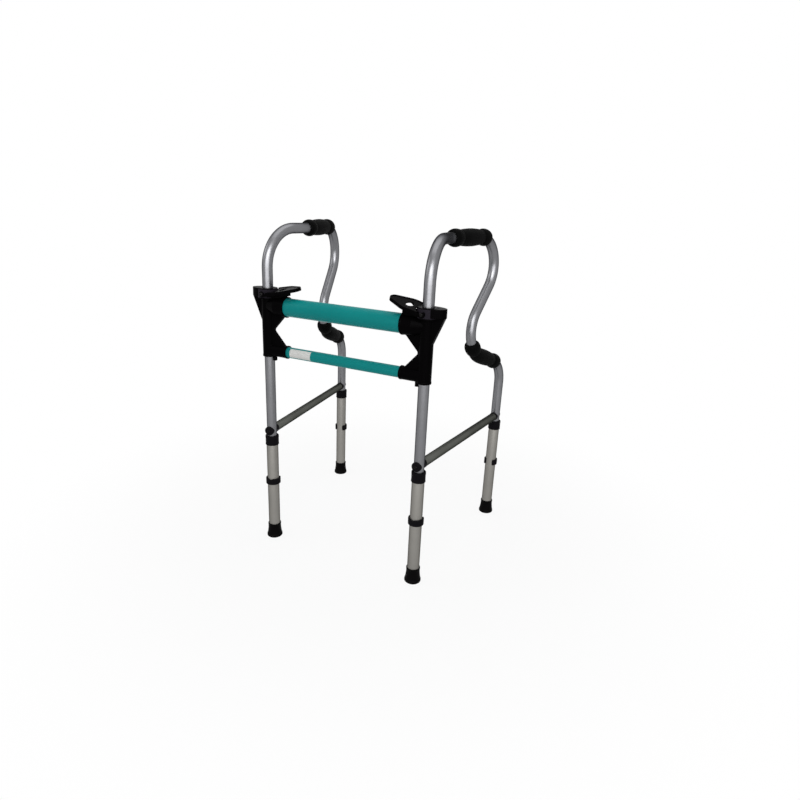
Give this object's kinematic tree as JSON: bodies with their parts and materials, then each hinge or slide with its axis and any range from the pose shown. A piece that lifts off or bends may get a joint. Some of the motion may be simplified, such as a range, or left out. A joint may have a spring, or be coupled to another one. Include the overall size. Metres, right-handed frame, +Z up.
{
  "type": "folding walking frame",
  "caption": "Folding walking frame with side handles at two heights, foam grips, height-adjustable legs and release paddles on the crossbar.",
  "frame": {"origin": "centre of the bounding box in plan, on the floor under the feet", "axes": "+X to the frame's right, +Y to its rear where the user stands, +Z up"},
  "size_m": [0.5608, 0.4802, 0.8324],
  "materials": {
    "aluminium": "satin anodised",
    "dark_aluminium": "satin anodised, darker",
    "teal_paint": "gloss powder coat",
    "black_plastic": "fine texture",
    "foam": "soft foam",
    "rubber": "matt",
    "zinc_steel": "zinc plated"
  },
  "bodies": {
    "crossbar_frame": {"top_crossbar": "teal_paint", "lower_crossbar": "teal_paint", "right_housing": "black_plastic", "right_top_rivet": "zinc_steel", "right_lower_rivet": "zinc_steel", "right_front_paddle_screw": "zinc_steel", "right_rear_paddle_screw": "zinc_steel", "right_lock_spring": "zinc_steel", "left_housing": "black_plastic", "left_top_rivet": "zinc_steel", "left_lower_rivet": "zinc_steel", "left_front_paddle_screw": "zinc_steel", "left_rear_paddle_screw": "zinc_steel", "left_lock_spring": "zinc_steel"},
    "right_paddle_body": {"right_paddle": "black_plastic"},
    "right_lock_pin_body": {"right_lock_pin": "zinc_steel"},
    "right_side": {"right_side_tube": "aluminium", "right_side_top_grip": "foam", "right_side_lower_grip": "foam", "right_side_brace": "dark_aluminium", "right_side_brace_cap": "black_plastic", "right_side_front_saddle": "black_plastic", "right_side_rear_saddle": "black_plastic", "right_side_front_brace_bolt": "zinc_steel", "right_side_rear_brace_bolt": "zinc_steel"},
    "right_front_leg": {"right_front_extension": "aluminium", "right_front_collar": "black_plastic", "right_front_clip": "black_plastic", "right_front_foot": "rubber"},
    "right_rear_leg": {"right_rear_extension": "aluminium", "right_rear_collar": "black_plastic", "right_rear_clip": "black_plastic", "right_rear_foot": "rubber"},
    "left_paddle_body": {"left_paddle": "black_plastic"},
    "left_lock_pin_body": {"left_lock_pin": "zinc_steel"},
    "left_side": {"left_side_tube": "aluminium", "left_side_top_grip": "foam", "left_side_lower_grip": "foam", "left_side_brace": "dark_aluminium", "left_side_brace_cap": "black_plastic", "left_side_front_saddle": "black_plastic", "left_side_rear_saddle": "black_plastic", "left_side_front_brace_bolt": "zinc_steel", "left_side_rear_brace_bolt": "zinc_steel"},
    "left_front_leg": {"left_front_extension": "aluminium", "left_front_collar": "black_plastic", "left_front_clip": "black_plastic", "left_front_foot": "rubber"},
    "left_rear_leg": {"left_rear_extension": "aluminium", "left_rear_collar": "black_plastic", "left_rear_clip": "black_plastic", "left_rear_foot": "rubber"}
  },
  "joints": [
    {"name": "right_fold", "type": "hinge", "parent": "crossbar_frame", "child": "right_side", "pos_m": [0.2095, -0.20828, 0.6], "axis": [0, 0, 1], "range_deg": [0, 75]},
    {"name": "right_paddle_lift", "type": "hinge", "parent": "crossbar_frame", "child": "right_paddle_body", "pos_m": [0.206, -0.20828, 0.6635], "axis": [0, 1, 0], "range_deg": [0, 20], "stiffness_Nm_per_rad": 0.3, "springref_deg": -17.19},
    {"name": "right_pin_slide", "type": "slide", "parent": "crossbar_frame", "child": "right_lock_pin_body", "axis": [-1, 0, 0], "range_m": [0, 0.006], "deforming": ["right_lock_spring"]},
    {"name": "right_front_leg_slide", "type": "slide", "parent": "right_side", "child": "right_front_leg", "axis": [0, 0, -1], "range_m": [0, 0.1016]},
    {"name": "right_rear_leg_slide", "type": "slide", "parent": "right_side", "child": "right_rear_leg", "axis": [0, 0, -1], "range_m": [0, 0.1016]},
    {"name": "left_fold", "type": "hinge", "parent": "crossbar_frame", "child": "left_side", "pos_m": [-0.2095, -0.20828, 0.6], "axis": [0, 0, 1], "range_deg": [-75, 0]},
    {"name": "left_paddle_lift", "type": "hinge", "parent": "crossbar_frame", "child": "left_paddle_body", "pos_m": [-0.206, -0.20828, 0.6635], "axis": [0, -1, 0], "range_deg": [0, 20], "stiffness_Nm_per_rad": 0.3, "springref_deg": -17.19},
    {"name": "left_pin_slide", "type": "slide", "parent": "crossbar_frame", "child": "left_lock_pin_body", "axis": [1, 0, 0], "range_m": [0, 0.006], "deforming": ["left_lock_spring"]},
    {"name": "left_front_leg_slide", "type": "slide", "parent": "left_side", "child": "left_front_leg", "axis": [0, 0, -1], "range_m": [0, 0.1016]},
    {"name": "left_rear_leg_slide", "type": "slide", "parent": "left_side", "child": "left_rear_leg", "axis": [0, 0, -1], "range_m": [0, 0.1016]}
  ],
  "couplings": [
    {"joint": "right_pin_slide", "follows": "right_paddle_lift", "m_per_rad": 0.0171},
    {"joint": "left_pin_slide", "follows": "left_paddle_lift", "m_per_rad": 0.0171}
  ]
}
